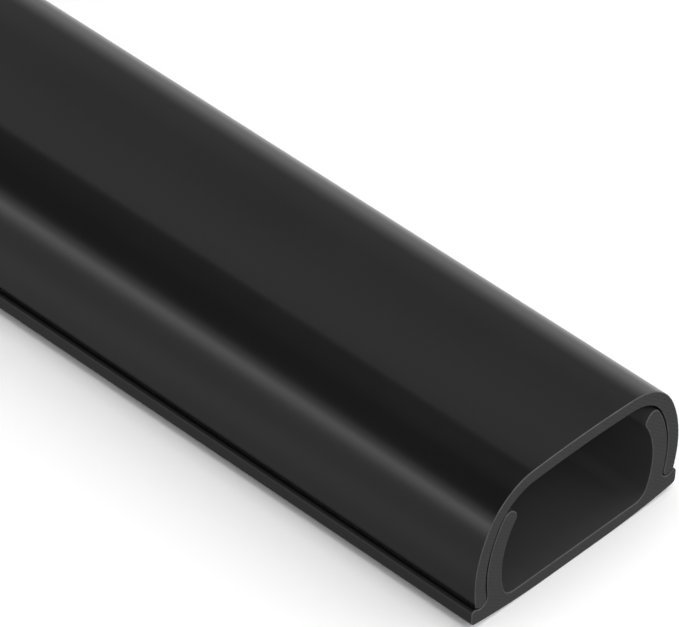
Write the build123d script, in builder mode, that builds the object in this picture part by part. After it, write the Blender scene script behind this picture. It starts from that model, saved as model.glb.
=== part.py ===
"""Two-piece cord cover raceway: a channel base and the cover that clips over its arms.

Both pieces are plastic extrusions of one constant section, cut square at the ends.
X runs across the raceway, Y along it and Z up. The origin is the middle of the face
that the raceway rests on. The section is drawn on its right half and mirrored.
"""
from build123d import *
from math import acos, asin, atan2, cos, degrees, radians, sin, sqrt
import os

# Driving dimensions in millimetres, angles in degrees
length = 400.0
base_width = 30.0

# The cover's outer face is an arch of three arcs: leg, shoulder and crown
overall_height = 16.5
widest_height = 6.0
leg_radius = 14.0
shoulder_radius = 7.2
crown_radius = 130.0
cover_wall = 1.55

# The cover's legs stand this far in from the flanges' edges
cover_setback = 0.15

# Gap between the cover's legs and the base, all the way round each foot
fit_gap = 0.2

# The base's two arms follow the inside of the cover and end part of the way round its shoulder
arm_thickness = 2.1
arm_turn = 22.5
arm_tip_round = 0.9

# The base's floor, and the flange outside each arm with the groove for a foot and a round lip
floor_thickness = 1.6
floor_fillet = 1.6
groove_height = 2.35
lip_round = 0.4
flange_edge_lift = 0.75
flange_edge_round = 0.6

# The underside is flat in the middle and bows up towards the flanges
rest_band = 8.0

# The sawn ends have their sharp edges broken
end_break = 0.12

# Centres of the three arcs: the shoulder touches the leg and the crown from inside
leg_centre = Vector(base_width / 2 - cover_setback - leg_radius, widest_height)
crown_centre = Vector(0, overall_height - crown_radius)
leg_reach = leg_radius - shoulder_radius
crown_reach = crown_radius - shoulder_radius
down = crown_centre - leg_centre
opening_cosine = (leg_reach**2 + down.length**2 - crown_reach**2) / (2 * leg_reach * down.length)
leg_end = degrees(atan2(down.Y, down.X) + acos(opening_cosine))


def on_circle(centre, radius, angle):
    """Point of a circle at an angle from +X."""
    return centre + Vector(radius * cos(radians(angle)), radius * sin(radians(angle)))


shoulder_centre = on_circle(leg_centre, leg_reach, leg_end)
rise = shoulder_centre - crown_centre
shoulder_end = degrees(atan2(rise.Y, rise.X))

# A foot is the full round that ends a leg, one fit gap above its groove
foot_radius = cover_wall / 2
foot_height = groove_height + fit_gap + foot_radius
foot_angle = degrees(asin((foot_height - widest_height) / (leg_radius - foot_radius)))
foot_centre = on_circle(leg_centre, leg_radius - foot_radius, foot_angle)

# Depths of the arm's two faces below the cover's outer face
arm_outside = cover_wall + fit_gap
arm_inside = arm_outside + arm_thickness
arm_end = leg_end + arm_turn

# The groove runs round the foot at the fit gap and passes smoothly into the lip's round
groove_radius = foot_radius + fit_gap
lip_inset = base_width / 2 - lip_round - foot_centre.X
lip_drop = sqrt((groove_radius + lip_round) ** 2 - lip_inset**2)
lip_centre = foot_centre + Vector(lip_inset, -lip_drop)
lip_angle = degrees(atan2(-lip_drop, lip_inset))

# The fillet between floor and arm touches the floor's top and the arm's inner face
fillet_height = floor_thickness + floor_fillet
fillet_reach = leg_radius - arm_inside - floor_fillet
fillet_angle = degrees(asin((fillet_height - widest_height) / fillet_reach))
fillet_centre = on_circle(leg_centre, fillet_reach, fillet_angle)


def leg_arc(depth, start):
    """Leg part of the arch, at a depth below the cover's outer face."""
    return CenterArc(leg_centre, leg_radius - depth, start, leg_end - start)


def shoulder_arc(depth, end):
    """Shoulder part of the arch, from the leg to an end angle."""
    return CenterArc(shoulder_centre, shoulder_radius - depth, leg_end, end - leg_end)


def crown_arc(depth):
    """Right half of the crown, from the shoulder to the middle plane."""
    return CenterArc(crown_centre, crown_radius - depth, shoulder_end, 90 - shoulder_end)


def end_edges(piece):
    """Edges around the two sawn ends of a piece."""
    ends = piece.faces().filter_by(Axis.Y)
    return ends.sort_by(Axis.Y)[0].edges() + ends.sort_by(Axis.Y)[-1].edges()


# Channel base
with BuildPart() as base:
    with BuildSketch(Plane.XZ) as base_section:
        with BuildLine():
            rest = Line((0, 0), (rest_band / 2, 0))
            underside = TangentArc(rest @ 1, (base_width / 2, flange_edge_lift), tangent=(1, 0))
            Line(underside @ 1, (base_width / 2, lip_centre.Y))
            CenterArc(lip_centre, lip_round, 0, 180 + lip_angle)
            groove_start = 180 + foot_angle
            CenterArc(foot_centre, groove_radius, groove_start, 360 + lip_angle - groove_start)
            leg_arc(arm_outside, foot_angle)
            arm_back = shoulder_arc(arm_outside, arm_end)
            arm_face = shoulder_arc(arm_inside, arm_end)
            Line(arm_back @ 1, arm_face @ 1)
            leg_arc(arm_inside, fillet_angle)
            CenterArc(fillet_centre, floor_fillet, -90, 90 + fillet_angle)
            floor = Line((fillet_centre.X, floor_thickness), (0, floor_thickness))
            Line(floor @ 1, rest @ 0)
        make_face()
        rounded_corners = (
            (underside @ 1, flange_edge_round),
            (arm_back @ 1, arm_tip_round),
            (arm_face @ 1, arm_tip_round),
        )
        for corner, radius in rounded_corners:
            fillet(base_section.vertices().sort_by_distance(corner)[0], radius)
        mirror(about=Plane.YZ)
    extrude(amount=length / 2, both=True)
    chamfer(end_edges(base), end_break)

# Clip-on cover
with BuildPart() as cover:
    with BuildSketch(Plane.XZ) as cover_section:
        with BuildLine():
            leg_arc(0, foot_angle)
            shoulder_arc(0, shoulder_end)
            top = crown_arc(0)
            leg_arc(cover_wall, foot_angle)
            shoulder_arc(cover_wall, shoulder_end)
            ceiling = crown_arc(cover_wall)
            CenterArc(foot_centre, foot_radius, 180 + foot_angle, 180)
            Line(top @ 1, ceiling @ 1)
        make_face()
        mirror(about=Plane.YZ)
    extrude(amount=length / 2, both=True)
    chamfer(end_edges(cover), end_break)

os.makedirs("parts", exist_ok=True)
base.part.label = "base"
export_step(base.part, "parts/base.step")
cover.part.label = "cover"
export_step(cover.part, "parts/cover.step")
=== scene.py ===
"""A clip-on cord cover raceway in a plain studio, laid out as an add-on and run as a script.

Both profiles are drawn by Geometry Nodes from the arcs of their section, in metres, in
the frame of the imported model. X runs across the raceway, Y along it and Z up.
"""
from math import cos, pi, radians, sin

import bpy
from bpy.props import FloatProperty, FloatVectorProperty, PointerProperty
from bpy.types import Operator, Panel, PropertyGroup
from mathutils import Matrix, Vector


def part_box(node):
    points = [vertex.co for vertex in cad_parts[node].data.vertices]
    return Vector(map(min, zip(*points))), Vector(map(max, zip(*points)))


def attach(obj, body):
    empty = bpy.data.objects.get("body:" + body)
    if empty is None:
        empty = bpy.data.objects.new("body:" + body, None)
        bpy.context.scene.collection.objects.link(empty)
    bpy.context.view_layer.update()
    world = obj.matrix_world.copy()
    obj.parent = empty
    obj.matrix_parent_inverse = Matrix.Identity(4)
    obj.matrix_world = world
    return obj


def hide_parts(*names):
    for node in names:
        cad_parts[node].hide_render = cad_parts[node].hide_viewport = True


bl_info = {
    "name": "Cord Cover Raceway",
    "version": (1, 0, 0),
    "blender": (4, 5, 0),
    "location": "3D View > Sidebar > Raceway",
    "description": "Builds a clip-on cord cover raceway and a soft studio around it",
    "category": "Add Mesh",
}

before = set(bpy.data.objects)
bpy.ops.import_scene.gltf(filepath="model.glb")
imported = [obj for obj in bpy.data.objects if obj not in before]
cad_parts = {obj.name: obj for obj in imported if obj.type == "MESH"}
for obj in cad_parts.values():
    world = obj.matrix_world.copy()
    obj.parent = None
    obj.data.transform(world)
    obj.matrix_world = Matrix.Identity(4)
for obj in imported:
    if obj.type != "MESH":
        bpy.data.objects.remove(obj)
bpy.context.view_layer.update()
BASE_LOW, BASE_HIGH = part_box("base")
MM = 0.001
MICRON = 0.000001


def length_of(label, text, millimetres):
    """A length property with a default in millimetres."""
    return FloatProperty(
        name=label, description=text, default=millimetres * MM, min=0.0, precision=5, unit="LENGTH"
    )


def share_of(label, text, share):
    """A property between zero and one."""
    return FloatProperty(
        name=label, description=text, default=share, min=0.0, max=1.0, subtype="FACTOR"
    )


def angle_of(label, text, degrees):
    """An angle property with a default in degrees."""
    return FloatProperty(name=label, description=text, default=radians(degrees), subtype="ANGLE")


def colour_of(label, text, colour):
    """A colour property."""
    return FloatVectorProperty(
        name=label, description=text, default=colour, size=3, min=0.0, max=1.0, subtype="COLOR"
    )


class RacewaySection(PropertyGroup):
    """Sizes of the section that both profiles are drawn from."""

    length: length_of("Length", "Length of both profiles", (BASE_HIGH.y - BASE_LOW.y) / MM)
    base_width: length_of(
        "Base Width", "Width of the base over its flanges", (BASE_HIGH.x - BASE_LOW.x) / MM
    )
    overall_height: length_of("Overall Height", "From the resting face to the crown", 16.5)
    cover_setback: length_of("Cover Setback", "From a flange's edge in to the cover", 0.15)
    widest_height: length_of("Widest Height", "Height where the cover is widest", 6.0)
    leg_radius: length_of("Leg Radius", "Outer radius of the cover's legs", 14.0)
    shoulder_radius: length_of("Shoulder Radius", "Outer radius of its shoulders", 7.2)
    crown_radius: length_of("Crown Radius", "Outer radius of its crown", 130.0)
    cover_wall: length_of("Cover Wall", "Thickness of the cover", 1.55)
    fit_gap: length_of("Fit Gap", "Gap between the cover and the base", 0.2)
    arm_thickness: length_of("Arm Thickness", "Thickness of the base's arms", 2.1)
    arm_turn: angle_of("Arm Turn", "How far an arm turns in past the leg", 22.5)
    arm_tip_round: length_of("Arm Tip Round", "Rounding of an arm's tip", 0.9)
    floor_thickness: length_of("Floor Thickness", "Thickness of the base's floor", 1.6)
    floor_fillet: length_of("Floor Fillet", "Fillet between the floor and an arm", 1.6)
    groove_height: length_of("Groove Height", "Lowest point of a groove", 2.35)
    lip_round: length_of("Lip Round", "Radius of the lip outside a groove", 0.4)
    edge_lift: length_of("Edge Lift", "Rise of the underside to a flange's edge", 0.75)
    edge_round: length_of("Edge Round", "Rounding of a flange's lower edge", 0.6)
    rest_band: length_of("Rest Band", "Width of the flat band underneath", 8.0)
    end_break: length_of("End Break", "Break of the edges round a sawn end", 0.12)


class RacewayFinish(PropertyGroup):
    """Colours and gloss of the plastic."""

    skin: colour_of("Skin", "Colour of the polished outer faces", (0.0036, 0.0036, 0.0038))
    # Lighter than the skin, partly for a duller inner finish and partly as painted fill light in
    # the shaded channel, groove and under the cover
    inside: colour_of("Inside", "Colour of the duller inner faces", (0.027, 0.027, 0.028))
    sawn: colour_of("Sawn End", "Colour of the plastic where it is sawn", (0.015, 0.015, 0.0156))
    # Pale burr round a sawn end, partly the burr's own whitening and partly a painted highlight
    # along the broken edges
    burr_and_highlight: colour_of("Burr", "Colour of the broken edge round a sawn end", (0.066, 0.066, 0.068))
    skin_roughness: share_of("Skin Roughness", "Roughness of the outer faces", 0.23)
    inside_roughness: share_of("Inside Roughness", "Roughness of the inner faces", 0.42)
    sawn_roughness: share_of("Sawn Roughness", "Roughness of the sawn ends", 0.55)
    gloss: share_of("Gloss", "Specular level of the plastic", 0.2)


class RacewayStudio(PropertyGroup):
    """Where the camera stands, and how bright the studio is."""

    target: FloatVectorProperty(
        name="Target",
        description="Point that the camera looks at",
        default=(-2.49 * MM, -170 * MM, 14.43 * MM),
        size=3,
        subtype="XYZ",
        unit="LENGTH",
    )
    azimuth: angle_of("Azimuth", "Turn of the camera about the raceway", -49.02)
    elevation: angle_of("Elevation", "Height of the camera over the horizon", 40.68)
    roll: angle_of("Roll", "Turn of the camera about its line of sight", 3.42)
    distance: length_of("Distance", "From the camera to its target", 632.3)
    focal_length: FloatProperty(
        name="Focal Length",
        description="Focal length of the lens, in millimetres",
        default=341.2,
        min=1.0,
    )
    floor_radius: length_of("Floor Radius", "Radius of the round studio floor", 9000.0)
    brightness: FloatProperty(
        name="Brightness",
        description="Factor on every lamp and on the surroundings",
        default=1.0,
        min=0.0,
    )


class Term:
    """A node's output that takes part in sums, each step of which adds a Math node."""

    def __init__(self, graph, socket):
        self.graph = graph
        self.socket = socket

    def __add__(self, other):
        return self.graph.math("ADD", self, other)

    def __sub__(self, other):
        return self.graph.math("SUBTRACT", self, other)

    def __rsub__(self, other):
        return self.graph.math("SUBTRACT", other, self)

    def __mul__(self, other):
        return self.graph.math("MULTIPLY", self, other)

    def __truediv__(self, other):
        return self.graph.math("DIVIDE", self, other)

    def __neg__(self):
        return self.graph.math("MULTIPLY", self, -1.0)

    def __abs__(self):
        return self.graph.math("ABSOLUTE", self)

    __radd__ = __add__
    __rmul__ = __mul__


class Graph:
    """A node tree, with one method through which its nodes are added."""

    def __init__(self, tree):
        self.tree = tree

    def add(self, kind, settings=None, inputs=None, output=0):
        """Adds a node, with its settings first, and returns one of its outputs."""
        node = self.tree.nodes.new(kind)
        for name, value in (settings or {}).items():
            setattr(node, name, value)
        for key, value in (inputs or {}).items():
            for item in value if isinstance(value, list) else [value]:
                self.feed(node.inputs[key], item)
        return Term(self, node.outputs[output]) if node.outputs else None

    def feed(self, socket, value):
        """Links a term to a socket, or sets the socket's own value."""
        if isinstance(value, Term):
            self.tree.links.new(value.socket, socket)
        else:
            socket.default_value = value

    def math(self, operation, *values):
        """The result of a Math node."""
        return self.add("ShaderNodeMath", {"operation": operation}, dict(enumerate(values)))

    def vector(self, x, y, z):
        """A vector from three numbers."""
        return self.add("ShaderNodeCombineXYZ", inputs={"X": x, "Y": y, "Z": z})

    def parts_of(self, vector):
        """The three numbers of a vector."""
        split = self.add("ShaderNodeSeparateXYZ", inputs={"Vector": vector}).socket.node
        return [Term(self, socket) for socket in split.outputs]

    def ramp(self, value, low, high):
        """Zero up to one value, one from another on and smooth between, in either direction."""
        return self.add(
            "ShaderNodeMapRange",
            {"interpolation_type": "SMOOTHSTEP"},
            {"Value": value, "From Min": low, "From Max": high},
        )

    def noise(self, place, scale, detail):
        """Fractal noise between zero and one."""
        return self.add(
            "ShaderNodeTexNoise", inputs={"Vector": place, "Scale": scale, "Detail": detail}
        )

    def blend(self, factor, first, second):
        """A colour between two colours."""
        node = self.add("ShaderNodeMix", {"data_type": "RGBA"}).socket.node
        sockets = {"Factor": factor, "A": first, "B": second}
        for socket in node.inputs:
            if socket.enabled and socket.name in sockets:
                self.feed(socket, sockets[socket.name])
        return Term(self, next(socket for socket in node.outputs if socket.enabled))


# How far inside a face counts: halfway, it is as dull as the inside but as dark as the skin; fully
# inside, it takes the inside colour, which is lighter partly as painted fill light in shaded
# recesses
SKIN = 0.0
DULL_SKIN = 0.5
INSIDE = 1.0

# Points along each arc of a section, with both its ends
LEG_POINTS = 24
SHOULDER_POINTS = 40
CROWN_POINTS = 8
FOOT_POINTS = 24
FOOT_CORNER_POINTS = 8
UNDERSIDE_POINTS = 16
EDGE_POINTS = 12
LIP_POINTS = 20
GROOVE_POINTS = 32
ARM_POINTS = 12
FILLET_POINTS = 16

# Settings of the nodes that store or look up a number for each point
POINT_NUMBER = {"data_type": "FLOAT", "domain": "POINT"}


class Section(Graph):
    """The tree that draws one profile's section and extrudes it."""

    def __init__(self, name):
        super().__init__(bpy.data.node_groups.new(name, "GeometryNodeTree"))
        self.arcs = []
        self.inside = SKIN
        interface = self.tree.interface
        interface.new_socket("Geometry", in_out="OUTPUT", socket_type="NodeSocketGeometry")
        for key in RacewaySection.__annotations__:
            label = RacewaySection.bl_rna.properties[key].name
            interface.new_socket(label, in_out="INPUT", socket_type="NodeSocketFloat")
        interface.new_socket("Material", in_out="INPUT", socket_type="NodeSocketMaterial")
        self.entry = self.add("NodeGroupInput").socket.node
        self.place_arch()
        self.place_lip()

    def size(self, label):
        """One of the tree's named inputs."""
        return Term(self, self.entry.outputs[label])

    def on_circle(self, centre, radius, angle):
        """Point of a circle at an angle from +X."""
        return (
            centre[0] + radius * self.math("COSINE", angle),
            centre[1] + radius * self.math("SINE", angle),
        )

    def crossing(self, centre, radius, other, other_radius):
        """Angle on one circle where another crosses it, the further round of the two."""
        across = other[0] - centre[0]
        down = other[1] - centre[1]
        apart_squared = across * across + down * down
        apart = self.math("SQRT", apart_squared)
        reaches = radius * radius - other_radius * other_radius
        opening = self.math("ARCCOSINE", (reaches + apart_squared) / (radius * apart * 2))
        return self.math("ARCTAN2", down, across) + opening

    def place_arch(self):
        """Finds the centres and ends of the cover's leg, shoulder and crown, and its foot."""
        size = self.size
        half_width = size("Base Width") / 2 - size("Cover Setback")
        self.leg_centre = (half_width - size("Leg Radius"), size("Widest Height"))
        self.crown_centre = (0.0, size("Overall Height") - size("Crown Radius"))

        # The shoulder touches the leg and the crown from inside
        leg_reach = size("Leg Radius") - size("Shoulder Radius")
        crown_reach = size("Crown Radius") - size("Shoulder Radius")
        self.leg_end = self.crossing(self.leg_centre, leg_reach, self.crown_centre, crown_reach)
        self.shoulder_centre = self.on_circle(self.leg_centre, leg_reach, self.leg_end)
        rise = self.shoulder_centre[1] - self.crown_centre[1]
        self.shoulder_end = self.math("ARCTAN2", rise, self.shoulder_centre[0])

        # The foot is the full round that ends a leg, one fit gap above its groove
        self.foot_radius = size("Cover Wall") / 2
        self.foot_height = size("Groove Height") + size("Fit Gap") + self.foot_radius
        foot_reach = size("Leg Radius") - self.foot_radius
        drop = (self.foot_height - size("Widest Height")) / foot_reach
        self.foot_angle = self.math("ARCSINE", drop)
        self.foot_centre = self.on_circle(self.leg_centre, foot_reach, self.foot_angle)

    def place_lip(self):
        """Finds the round lip that the groove runs smoothly into."""
        lip = self.size("Lip Round")
        self.groove_radius = self.foot_radius + self.size("Fit Gap")
        inset = self.size("Base Width") / 2 - lip - self.foot_centre[0]
        reach = self.groove_radius + lip
        drop = self.math("SQRT", reach * reach - inset * inset)
        self.lip_centre = (self.foot_centre[0] + inset, self.foot_height - drop)
        self.lip_angle = self.math("ARCTAN2", -drop, inset)

    def arc(self, centre, radius, start, end, points):
        """Adds an arc to the outline, from one angle to another."""
        self.arcs.append((centre, radius, start, end, points, self.inside))

    def leg_arc(self, depth, start, end):
        """Adds a leg's arc, at a depth below the cover's outer face."""
        self.arc(self.leg_centre, self.size("Leg Radius") - depth, start, end, LEG_POINTS)

    def shoulder_arc(self, depth, start, end, points=SHOULDER_POINTS):
        """Adds a shoulder's arc, at a depth below the cover's outer face."""
        self.arc(self.shoulder_centre, self.size("Shoulder Radius") - depth, start, end, points)

    def crown_arc(self, depth, start, end):
        """Adds half of the crown, at a depth below the cover's outer face."""
        self.arc(self.crown_centre, self.size("Crown Radius") - depth, start, end, CROWN_POINTS)

    def mirror_arcs(self):
        """Adds the left half of the outline, from the last arc back to the first."""
        for centre, radius, start, end, points, inside in reversed(self.arcs[:]):
            self.inside = inside
            self.arc((centre[0] * -1.0, centre[1]), radius, pi - end, pi - start, points)

    def draw_arc(self, place, centre, radius, start, end, points, inside):
        """The points of one arc, with their places along the outline and how far inside it is."""
        sweep = {"Start Angle": start, "Sweep Angle": end - start}
        curve = self.add(
            "GeometryNodeCurveArc",
            {"mode": "RADIUS"},
            {"Resolution": points, "Radius": radius, **sweep},
        )
        centre = self.vector(centre[0], centre[1], 0.0)
        moved = self.add("GeometryNodeTransform", inputs={"Geometry": curve, "Translation": centre})
        dots = self.add("GeometryNodeCurveToPoints", {"mode": "EVALUATED"}, {"Curve": moved})
        dots = self.store(dots, "place", self.add("GeometryNodeInputIndex") / points + place)
        return self.store(dots, "inside", inside)

    def store(self, geometry, name, value):
        """Keeps a number for each point under a name."""
        kind = "GeometryNodeStoreNamedAttribute"
        return self.then(kind, geometry, POINT_NUMBER, Name=name, Value=value)

    def stored(self, name):
        """The number that each point has under a name."""
        settings = {"data_type": "FLOAT"}
        return self.add("GeometryNodeInputNamedAttribute", settings, {"Name": name})

    def then(self, kind, geometry, settings=None, **inputs):
        """Passes a geometry through one more node, whose sockets are named with underscores."""
        named = {name.replace("_", " "): value for name, value in inputs.items()}
        return self.add(kind, settings, {0: geometry, **named})

    def extrude(self):
        """Joins the arcs into one outline, fills it and runs it along the raceway."""
        dots = [self.draw_arc(place, *arc) for place, arc in enumerate(self.arcs)]
        dots = self.add("GeometryNodeJoinGeometry", inputs={"Geometry": dots})
        outline = self.then("GeometryNodePointsToCurves", dots, Weight=self.stored("place"))
        outline = self.then("GeometryNodeSetSplineCyclic", outline, Cyclic=True)

        # Arcs that meet share a point
        outline = self.then("GeometryNodeCurveToMesh", outline)
        outline = self.then("GeometryNodeMergeByDistance", outline, Distance=MICRON)
        outline = self.then("GeometryNodeMeshToCurve", outline)
        face = self.then("GeometryNodeFillCurve", outline, {"mode": "NGONS"})

        length = self.size("Length")
        whole = {"Offset_Scale": length, "Individual": False}
        body = self.then("GeometryNodeExtrudeMesh", face, {"mode": "FACES"}, **whole)
        far_end = self.then("GeometryNodeFlipFaces", face)
        solid = self.add("GeometryNodeJoinGeometry", inputs={"Geometry": [body, far_end]})
        solid = self.then("GeometryNodeMergeByDistance", solid, Distance=MICRON)

        # Each point takes how far inside it is from the dot that it was drawn through
        x, y, _ = self.parts_of(self.add("GeometryNodeInputPosition"))
        flat = self.vector(x, y, 0.0)
        nearest = self.then("GeometryNodeSampleNearest", dots, Sample_Position=flat)
        side = {"Geometry": dots, "Value": self.stored("inside"), "Index": nearest}
        solid = self.store(solid, "inside", self.add("GeometryNodeSampleIndex", POINT_NUMBER, side))

        back = self.vector(0.0, 0.0, length * -0.5)
        solid = self.then("GeometryNodeTransform", solid, Translation=back)
        solid = self.then("GeometryNodeTransform", solid, Rotation=(pi / 2, 0.0, 0.0))

        solid = self.then("GeometryNodeSetShadeSmooth", solid)
        solid = self.then("GeometryNodeRealizeInstances", solid)
        solid = self.then("GeometryNodeSetMaterial", solid, Material=self.size("Material"))
        self.add("NodeGroupOutput", inputs={"Geometry": solid})
        return self.tree


def draw_cover():
    """The cover's section: a low arch whose feet are round inside and sharp outside."""
    section = Section("Raceway Cover")
    wall = section.size("Cover Wall")
    top = pi / 2

    # Outside its round, a foot follows the lip at the fit gap, out to the leg's outer face
    lip, bend = section.lip_centre, section.size("Lip Round") + section.size("Fit Gap")
    leg, leg_radius = section.leg_centre, section.size("Leg Radius")
    corner_angle = section.crossing(leg, leg_radius, lip, bend)
    corner = section.on_circle(leg, leg_radius, corner_angle)
    bend_end = section.math("ARCTAN2", corner[1] - lip[1], corner[0] - lip[0])
    foot_start = section.foot_angle + pi
    foot_end = section.lip_angle + 2 * pi

    # The cover's inner faces and foot take the inside colour, partly painted fill light under the
    # arch and in the groove
    section.inside = INSIDE
    section.crown_arc(wall, top, section.shoulder_end)
    section.shoulder_arc(wall, section.shoulder_end, section.leg_end)
    section.leg_arc(wall, section.leg_end, section.foot_angle)
    section.arc(section.foot_centre, section.foot_radius, foot_start, foot_end, FOOT_POINTS)
    section.arc(lip, bend, section.lip_angle + pi, bend_end, FOOT_CORNER_POINTS)
    section.inside = SKIN
    section.leg_arc(0.0, corner_angle, section.leg_end)
    section.shoulder_arc(0.0, section.leg_end, section.shoulder_end)
    section.crown_arc(0.0, section.shoulder_end, top)
    section.mirror_arcs()
    return section.extrude()


def draw_flange(section):
    """Half of the underside, the flange's edge and lip, and the groove round the foot."""
    size, math = section.size, section.math
    down = -pi / 2

    # The underside is flat in the middle, then an arc up to the flange's rounded edge
    half_width = size("Base Width") / 2
    flat_end = size("Rest Band") / 2
    run = half_width - flat_end
    rise = size("Edge Lift")
    bow = (run * run + rise * rise) / (rise * 2)
    edge_round = size("Edge Round")
    edge_x = half_width - edge_round
    edge_run = edge_x - flat_end
    edge_reach = bow - edge_round
    edge_z = bow - math("SQRT", edge_reach * edge_reach - edge_run * edge_run)
    bow_end = math("ARCTAN2", edge_z - bow, edge_run)
    section.arc((flat_end, bow), bow, down, bow_end, UNDERSIDE_POINTS)
    section.inside = DULL_SKIN
    section.arc((edge_x, edge_z), edge_round, bow_end, 0.0, EDGE_POINTS)

    # The lip's round passes smoothly into the groove that runs round the foot
    lip_angle = section.lip_angle
    groove_end = section.foot_angle - pi
    section.arc(section.lip_centre, size("Lip Round"), 0.0, lip_angle + pi, LIP_POINTS)
    # The groove takes the inside colour, partly painted fill light in its shade
    section.inside = INSIDE
    section.arc(section.foot_centre, section.groove_radius, lip_angle, groove_end, GROOVE_POINTS)


def draw_arm(section):
    """The arm's back, its rounded tip and its face, and the fillet down to the floor."""
    size, math = section.size, section.math
    down = -pi / 2

    # Two rounds with a short flat between them make the tip
    back = size("Cover Wall") + size("Fit Gap")
    face = back + size("Arm Thickness")
    tip = size("Arm Tip Round")
    arm_end = section.leg_end + size("Arm Turn")
    back_reach = size("Shoulder Radius") - back - tip
    face_reach = size("Shoulder Radius") - face + tip
    back_end = arm_end - math("ARCSINE", tip / back_reach)
    face_end = arm_end - math("ARCSINE", tip / face_reach)
    back_tip = section.on_circle(section.shoulder_centre, back_reach, back_end)
    face_tip = section.on_circle(section.shoulder_centre, face_reach, face_end)
    tip_top = arm_end + pi / 2
    section.inside = DULL_SKIN
    section.leg_arc(back, section.foot_angle, section.leg_end)
    section.shoulder_arc(back, section.leg_end, back_end, ARM_POINTS)
    # The arm's tip, face and fillet take the inside colour, partly painted fill light inside the
    # channel
    section.inside = INSIDE
    section.arc(back_tip, tip, back_end, tip_top, ARM_POINTS)
    section.arc(face_tip, tip, tip_top, face_end + pi, ARM_POINTS)
    section.shoulder_arc(face, face_end, section.leg_end, ARM_POINTS)

    # The fillet touches the arm's face and the floor's top
    fillet = size("Floor Fillet")
    fillet_reach = size("Leg Radius") - face - fillet
    fillet_rise = size("Floor Thickness") + fillet - size("Widest Height")
    fillet_angle = math("ARCSINE", fillet_rise / fillet_reach)
    fillet_centre = section.on_circle(section.leg_centre, fillet_reach, fillet_angle)
    section.leg_arc(face, section.leg_end, fillet_angle)
    section.arc(fillet_centre, fillet, fillet_angle, down, FILLET_POINTS)


def draw_base():
    """The base's section: a floor with two flanges, their grooves and two arms."""
    section = Section("Raceway Base")
    draw_flange(section)
    draw_arm(section)
    section.mirror_arcs()
    return section.extrude()


# Facets across a sawn end's broken edges, and the angle from which an edge is broken
END_BREAK_FACETS = 3
SHARP_EDGE = radians(60)


def build_profile(name, tree, sizes, material):
    """Runs a section's tree on a new object, breaks its end edges and makes it a plain mesh."""
    piece = bpy.data.objects.new(name, bpy.data.meshes.new(name))
    bpy.context.scene.collection.objects.link(piece)
    nodes = piece.modifiers.new("Section", "NODES")
    nodes.node_group = tree
    for item in tree.interface.items_tree:
        if item.name == "Material":
            nodes[item.identifier] = material
        elif item.in_out == "INPUT":
            nodes[item.identifier] = getattr(sizes, item.name.lower().replace(" ", "_"))
    ends = piece.modifiers.new("End Break", "BEVEL")
    ends.width = sizes.end_break
    ends.segments = END_BREAK_FACETS
    ends.limit_method = "ANGLE"
    ends.angle_limit = SHARP_EDGE
    ends.use_clamp_overlap = False
    ends.harden_normals = True
    graph = bpy.context.evaluated_depsgraph_get()
    mesh = bpy.data.meshes.new_from_object(piece.evaluated_get(graph))
    piece.modifiers.clear()
    piece.data = mesh
    mesh.name = name
    if not mesh.polygons:
        raise RuntimeError(f"the section of {name} came out empty")
    return piece


# Noise on the plastic and the floor: cycles to a metre, and detail
BANDS = (450.0, 3.0)
LINES = (4200.0, 2.0)
GRAIN = (7000.0, 2.0)
CLOUD = (55.0, 4.0)
CHATTER = (700.0, 3.0)
FLOOR_CLOUD = (3.0, 2.0)

# Factor on Y that draws the die lines out, and their shift across the base in metres
DRAWN_OUT = 0.006
BASE_DIE_SHIFT = 0.31

# The blade's axle in metres, radians to a metre from it, and how far chatter bends a mark
SAW_AXLE_X = -0.11
SAW_AXLE_Z = -0.14
SAW_MARKS = 16000.0
SAW_BEND = 9.0

# Where the sawn look and the burr, partly a painted highlight, come and go, as shares of the broken
# edge's width, and how strong the burr is where it is faintest
SAWN_RISE = (0.3, 0.9)
BURR_AND_HIGHLIGHT_RISE = (0.05, 0.4)
BURR_AND_HIGHLIGHT_FALL = (1.0, 0.85)
BURR_AND_HIGHLIGHT_LEAST = 0.2

# Darkest and lightest tone, as shares of a colour, and the colour that the floor's go with
SKIN_TONES = (0.8, 1.2)
INSIDE_TONES = (0.85, 1.15)
SAWN_TONES = (0.6, 1.5)
FLOOR_TONES = (0.65, 0.665)
WHITE = (1.0, 1.0, 1.0)

# How far each pattern moves the tone, and then the roughness
CLOUD_TONE = 1.2
BAND_TONE = 0.8
MARK_TONE = 0.2
CHATTER_TONE = 0.9
CLOUD_ROUGHNESS = 0.05
BAND_ROUGHNESS = 0.08
CHATTER_ROUGHNESS = 0.2

# Relief in metres, with the grain deeper where the plastic is sawn
BAND_RELIEF = 4 * MICRON
LINE_RELIEF = 0.9 * MICRON
MARK_RELIEF = 1.6 * MICRON
CUT_GRAIN_RELIEF = 7 * MICRON
GRAIN_RELIEF = 1.2 * MICRON


def empty_graph(owner):
    """The node tree of a material or world, emptied."""
    owner.use_nodes = True
    owner.node_tree.nodes.clear()
    return Graph(owner.node_tree)


def swing(noise, width):
    """Noise moved to lie about zero, this wide."""
    return (noise - 0.5) * width


def shaded(colour, factor):
    """A colour made darker or lighter, with an alpha of one."""
    return tuple(channel * factor for channel in colour) + (1.0,)


def tones(colour, factors):
    """A colour's darkest and lightest tone."""
    return [shaded(colour, factor) for factor in factors]


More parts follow.
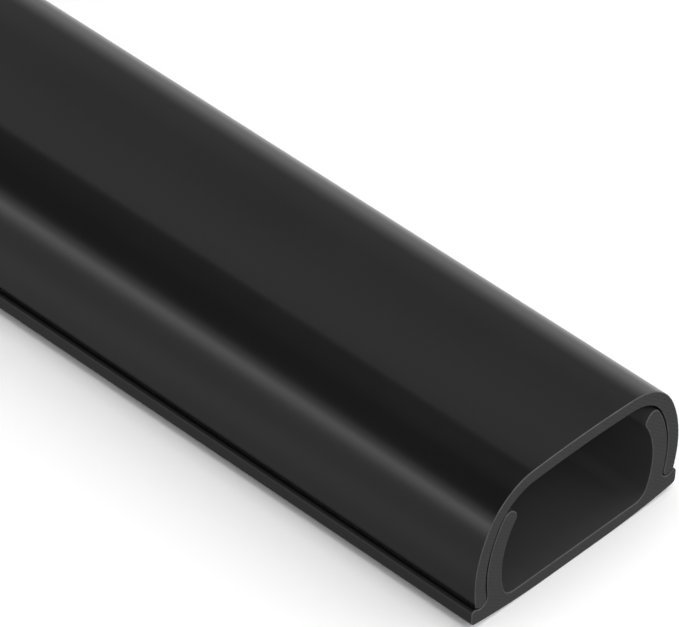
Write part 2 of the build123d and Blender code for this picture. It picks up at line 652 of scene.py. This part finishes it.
def black_plastic(name, die_shift, sizes, finish):
    """Satin black plastic: die lines along the skin, and duller sawn ends with saw marks."""
    material = bpy.data.materials.new(name)
    graph = empty_graph(material)
    place = graph.add("ShaderNodeTexCoord", output="Object")
    x, y, z = graph.parts_of(place)

    # One on a sawn face and zero on the skin, with the burr on the broken edge between them, its
    # paleness partly a painted highlight
    past_skin = (abs(y) - (sizes.length / 2 - sizes.end_break)) / sizes.end_break
    sawn = graph.ramp(past_skin, *SAWN_RISE)
    burr_and_highlight = graph.ramp(past_skin, *BURR_AND_HIGHLIGHT_RISE) * graph.ramp(past_skin, *BURR_AND_HIGHLIGHT_FALL)
    inside = graph.add("ShaderNodeAttribute", {"attribute_name": "inside"}, output="Fac")

    # Die lines run the whole length, so their noise is drawn out along Y
    drawn = graph.vector(x + die_shift, y * DRAWN_OUT, z)
    bands = graph.noise(drawn, *BANDS)
    lines = graph.noise(drawn, *LINES)
    grain = graph.noise(place, *GRAIN)
    cloud = graph.noise(place, *CLOUD)

    # Saw marks are shallow arcs about the axle of the blade, far below the section
    arm_x, arm_z = x - SAW_AXLE_X, z - SAW_AXLE_Z
    reach = graph.math("SQRT", arm_x * arm_x + arm_z * arm_z)
    chatter = graph.noise(place, *CHATTER)
    marks = graph.math("SINE", reach * SAW_MARKS + chatter * SAW_BEND)

    # Skin and inside vary with cloud and bands, and a sawn end with its marks and chatter
    clouded = swing(cloud, CLOUD_TONE) + swing(bands, BAND_TONE) + 0.5
    scored = marks * MARK_TONE + swing(chatter, CHATTER_TONE) + 0.5
    polished = graph.blend(clouded, *tones(finish.skin, SKIN_TONES))
    # The inside colour carries painted fill light where the channel and groove lie in shade
    inside_with_painted_fill = graph.blend(clouded, *tones(finish.inside, INSIDE_TONES))
    cut = graph.blend(scored, *tones(finish.sawn, SAWN_TONES))

    # From skin to inside, a face first turns duller and then paler, the paler colour being partly a
    # duller finish and partly painted fill light in the shaded recesses
    dullness = graph.math("MINIMUM", inside / DULL_SKIN, 1.0)
    painted_fill_share = inside / DULL_SKIN - dullness
    colour = graph.blend(sawn, graph.blend(painted_fill_share, polished, inside_with_painted_fill), cut)
    # The burr's pale colour is partly its own whitening and partly a painted highlight on the
    # broken edge
    patchy = burr_and_highlight * (chatter * (1 - BURR_AND_HIGHLIGHT_LEAST) + BURR_AND_HIGHLIGHT_LEAST)
    colour = graph.blend(patchy, colour, shaded(finish.burr_and_highlight, 1.0))

    skin_rough = swing(bands, BAND_ROUGHNESS) + swing(cloud, CLOUD_ROUGHNESS)
    duller = dullness * (finish.inside_roughness - finish.skin_roughness)
    skin_rough = skin_rough + finish.skin_roughness + duller
    cut_rough = swing(chatter, CHATTER_ROUGHNESS) + finish.sawn_roughness
    rough = skin_rough + (cut_rough - skin_rough) * sawn

    skin_relief = swing(bands, BAND_RELIEF) + swing(lines, LINE_RELIEF)
    cut_relief = marks * MARK_RELIEF + swing(grain, CUT_GRAIN_RELIEF)
    relief = skin_relief + (cut_relief - skin_relief) * sawn + swing(grain, GRAIN_RELIEF)
    bump = {"Strength": 1.0, "Distance": 1.0, "Height": relief}
    normal = graph.add("ShaderNodeBump", inputs=bump)
    surface = graph.add(
        "ShaderNodeBsdfPrincipled",
        inputs={
            "Base Color": colour,
            "Roughness": rough,
            "Specular IOR Level": finish.gloss,
            "Normal": normal,
        },
    )
    graph.add("ShaderNodeOutputMaterial", inputs={"Surface": surface})
    return material


# The studio floor is matt, and a polygon with so many sides that it looks round
FLOOR_ROUGHNESS = 0.9
FLOOR_SIDES = 128

# Brightness of the surroundings overhead, and its change between two elevations in degrees
OVERHEAD = 0.24
PALE_WALLS = (32, 14, 0.62)
LIT_FLOOR = (0, -8, 0.2)
SHADED_FLOOR = (-26, -60, -0.73)

# Each lamp's azimuth and elevation in degrees, its distance, width and height in metres,
# and the radiance of its face
LAMPS = {
    "key": (48, 48, 2.3, 2.2, 2.2, 2.6),
    "fill": (-20, 33, 2.5, 2.4, 2.0, 3.2),
    "left_strip": (-120, 6.8, 4.0, 3.0, 0.84, 4.2),
    "left_strip_top": (-120, 18.5, 4.0, 3.0, 0.7, 1.05),
    "right_panel": (123, 18.5, 4.0, 4.0, 2.6, 0.61),
    "right_panel_top": (123, 45.5, 4.0, 4.0, 0.4, 1.4),
    "overhead": (0, 90, 3.0, 1.6, 1.6, 5.0),
}

# The camera's sensor in millimetres, and the nearest and furthest that it sees in metres
SENSOR_WIDTH = 36.0
CLIP_RANGE = (0.01, 100.0)


def pale_floor():
    """Matt pale studio floor, with the faintest cloudiness."""
    material = bpy.data.materials.new("pale_floor")
    graph = empty_graph(material)
    cloud = graph.noise(graph.add("ShaderNodeTexCoord", output="Object"), *FLOOR_CLOUD)
    colour = graph.blend(cloud, *tones(WHITE, FLOOR_TONES))
    matt = {"Base Color": colour, "Roughness": FLOOR_ROUGHNESS}
    surface = graph.add("ShaderNodeBsdfPrincipled", inputs=matt)
    graph.add("ShaderNodeOutputMaterial", inputs={"Surface": surface})
    return material


def add_floor(studio):
    """The round floor that the raceway lies on."""
    radius = studio.floor_radius
    ring = [2 * pi * step / FLOOR_SIDES for step in range(FLOOR_SIDES)]
    corners = [(radius * cos(angle), radius * sin(angle), 0.0) for angle in ring]
    mesh = bpy.data.meshes.new("studio_floor")
    mesh.from_pydata(corners, [], [range(FLOOR_SIDES)])
    mesh.materials.append(pale_floor())
    floor = bpy.data.objects.new("studio_floor", mesh)
    bpy.context.scene.collection.objects.link(floor)

    # The plastic mirrors the surroundings in the floor's place
    floor.visible_glossy = False


def direction(azimuth, elevation):
    """Unit vector towards a place round the raceway, counted from its near end."""
    level = cos(elevation)
    return Vector((sin(azimuth) * level, -cos(azimuth) * level, sin(elevation)))


def add_lamp(name, studio, azimuth, elevation, distance, width, height, radiance):
    """A soft box that faces the raceway, with the radiance of its face."""
    light = bpy.data.lights.new(name, "AREA")
    light.shape = "RECTANGLE"
    light.size, light.size_y = width, height
    light.energy = radiance * pi * light.size * light.size_y * studio.brightness
    lamp = bpy.data.objects.new(name, light)
    towards = direction(radians(azimuth), radians(elevation))
    lamp.location = towards * distance
    lamp.rotation_euler = towards.to_track_quat("Z", "Y").to_euler()
    bpy.context.scene.collection.objects.link(lamp)


def add_surroundings(studio):
    """A studio that is dark overhead, pale near the horizon and shaded close under a piece.

    The floor stays out of the mirror images in the plastic, which show this instead.
    """
    world = bpy.data.worlds.new("studio_surroundings")
    graph = empty_graph(world)
    _, _, z = graph.parts_of(graph.add("ShaderNodeTexCoord", output="Generated"))
    strength = OVERHEAD
    for high, low, change in (PALE_WALLS, LIT_FLOOR, SHADED_FLOOR):
        strength = graph.ramp(z, sin(radians(high)), sin(radians(low))) * change + strength
    white = {"Color": shaded(WHITE, 1.0), "Strength": strength * studio.brightness}
    glow = graph.add("ShaderNodeBackground", inputs=white)
    graph.add("ShaderNodeOutputWorld", inputs={"Surface": glow})
    bpy.context.scene.world = world


def add_camera(studio):
    """The camera at the photograph's viewing angle."""
    back = direction(studio.azimuth, studio.elevation)
    level = Vector((cos(studio.azimuth), sin(studio.azimuth), 0.0))
    upright = back.cross(level)
    right = level * cos(studio.roll) + upright * sin(studio.roll)
    up = upright * cos(studio.roll) - level * sin(studio.roll)
    lens = bpy.data.cameras.new("camera")
    lens.sensor_width = SENSOR_WIDTH
    lens.lens = studio.focal_length
    lens.clip_start, lens.clip_end = CLIP_RANGE
    camera = bpy.data.objects.new("camera", lens)
    turn = Matrix((right, up, back)).transposed().to_4x4()
    stand = Vector(studio.target) + back * studio.distance
    camera.matrix_world = Matrix.Translation(stand) @ turn
    bpy.context.scene.collection.objects.link(camera)
    bpy.context.scene.camera = camera


class RACEWAY_OT_add_base(Operator):
    """Add the channel base with its arms, grooves and sawn ends"""

    bl_idname = "raceway.add_base"
    bl_label = "Channel Base"
    bl_options = {"REGISTER", "UNDO"}

    def execute(self, context):
        scene = context.scene
        sizes, finish = scene.raceway_section, scene.raceway_finish
        plastic = black_plastic("base_plastic", BASE_DIE_SHIFT, sizes, finish)
        base = build_profile("raceway_base", draw_base(), sizes, plastic)
        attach(base, "base")
        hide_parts("base")
        return {"FINISHED"}


class RACEWAY_OT_add_cover(Operator):
    """Add the cover that clips over the base's arms"""

    bl_idname = "raceway.add_cover"
    bl_label = "Clip-On Cover"
    bl_options = {"REGISTER", "UNDO"}

    def execute(self, context):
        scene = context.scene
        sizes, finish = scene.raceway_section, scene.raceway_finish
        plastic = black_plastic("cover_plastic", 0.0, sizes, finish)
        cover = build_profile("raceway_cover", draw_cover(), sizes, plastic)
        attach(cover, "cover")
        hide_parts("cover")
        return {"FINISHED"}


class RACEWAY_OT_add_stage(Operator):
    """Add the pale floor, the soft boxes, the surroundings and the camera"""

    bl_idname = "raceway.add_stage"
    bl_label = "Studio"
    bl_options = {"REGISTER", "UNDO"}

    def execute(self, context):
        studio = context.scene.raceway_studio
        add_floor(studio)
        add_surroundings(studio)
        for name, settings in LAMPS.items():
            add_lamp(name, studio, *settings)
        add_camera(studio)
        context.scene.view_settings.view_transform = "Standard"
        return {"FINISHED"}


class RACEWAY_PT_sidebar(Panel):
    """Panel that lists the raceway's sizes, finish and studio"""

    bl_idname = "RACEWAY_PT_sidebar"
    bl_label = "Cord Cover Raceway"
    bl_space_type = "VIEW_3D"
    bl_region_type = "UI"
    bl_category = "Raceway"

    def draw(self, context):
        groups = (
            (context.scene.raceway_section, (RACEWAY_OT_add_base, RACEWAY_OT_add_cover)),
            (context.scene.raceway_finish, ()),
            (context.scene.raceway_studio, (RACEWAY_OT_add_stage,)),
        )
        for settings, operators in groups:
            column = self.layout.column(align=True)
            for name in settings.__annotations__:
                column.prop(settings, name)
            for operator in operators:
                self.layout.operator(operator.bl_idname)


CLASSES = (
    RacewaySection,
    RacewayFinish,
    RacewayStudio,
    RACEWAY_OT_add_base,
    RACEWAY_OT_add_cover,
    RACEWAY_OT_add_stage,
    RACEWAY_PT_sidebar,
)


def register():
    for entry in CLASSES:
        bpy.utils.register_class(entry)
    bpy.types.Scene.raceway_section = PointerProperty(type=RacewaySection)
    bpy.types.Scene.raceway_finish = PointerProperty(type=RacewayFinish)
    bpy.types.Scene.raceway_studio = PointerProperty(type=RacewayStudio)


def unregister():
    del bpy.types.Scene.raceway_studio
    del bpy.types.Scene.raceway_finish
    del bpy.types.Scene.raceway_section
    for entry in reversed(CLASSES):
        bpy.utils.unregister_class(entry)


def main():
    """Builds the raceway and its studio."""
    register()
    bpy.ops.raceway.add_base()
    bpy.ops.raceway.add_cover()
    bpy.ops.raceway.add_stage()


if __name__ == "__main__":
    main()
